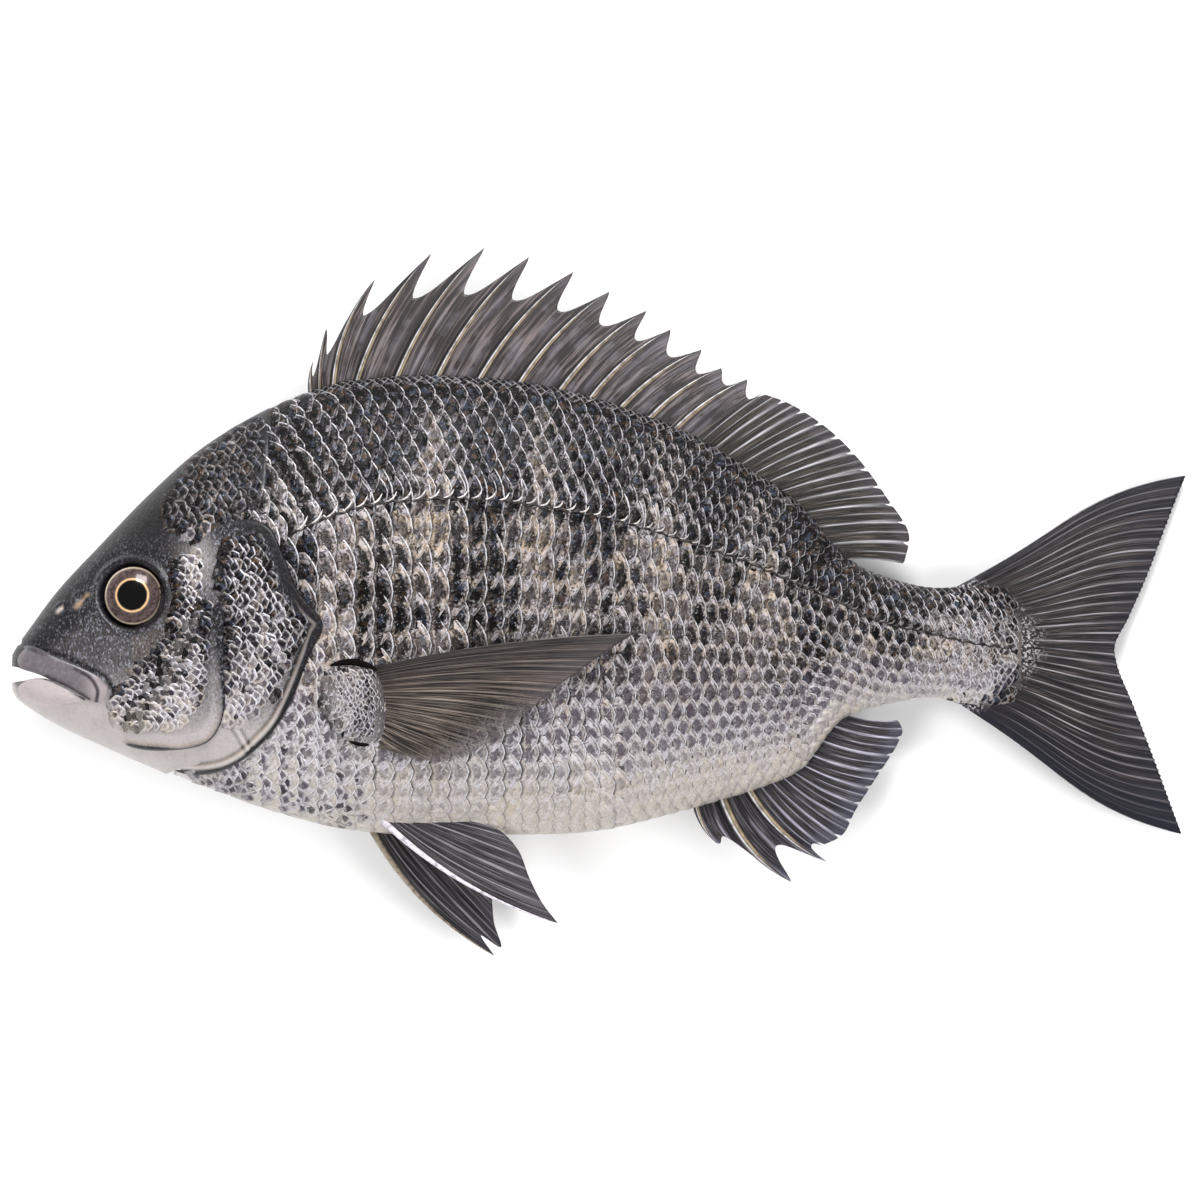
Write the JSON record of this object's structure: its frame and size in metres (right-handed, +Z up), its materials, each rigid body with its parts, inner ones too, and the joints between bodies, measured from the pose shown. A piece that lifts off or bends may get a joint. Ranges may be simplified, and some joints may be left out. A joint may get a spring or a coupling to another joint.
{
  "type": "whole fish",
  "caption": "Whole raw sea bream lying on its side: deep oval body, spiny back fin, forked tail, one flank pressed flat to rest on.",
  "frame": {"origin": "centre of the bounding box in plan, at the table's height under the flattened right flank", "axes": "+X from snout to tail, +Y towards the back fin, +Z up out of the left flank"},
  "size_m": [0.32, 0.193, 0.0459],
  "materials": {
    "skin": "wet silver-grey scales, dark fins",
    "eye": "wet, glossy, dark pupil in a brown iris"
  },
  "bodies": {
    "root": {"fish": "skin", "eye_left": "eye", "eye_right": "eye"}
  },
  "joints": []
}
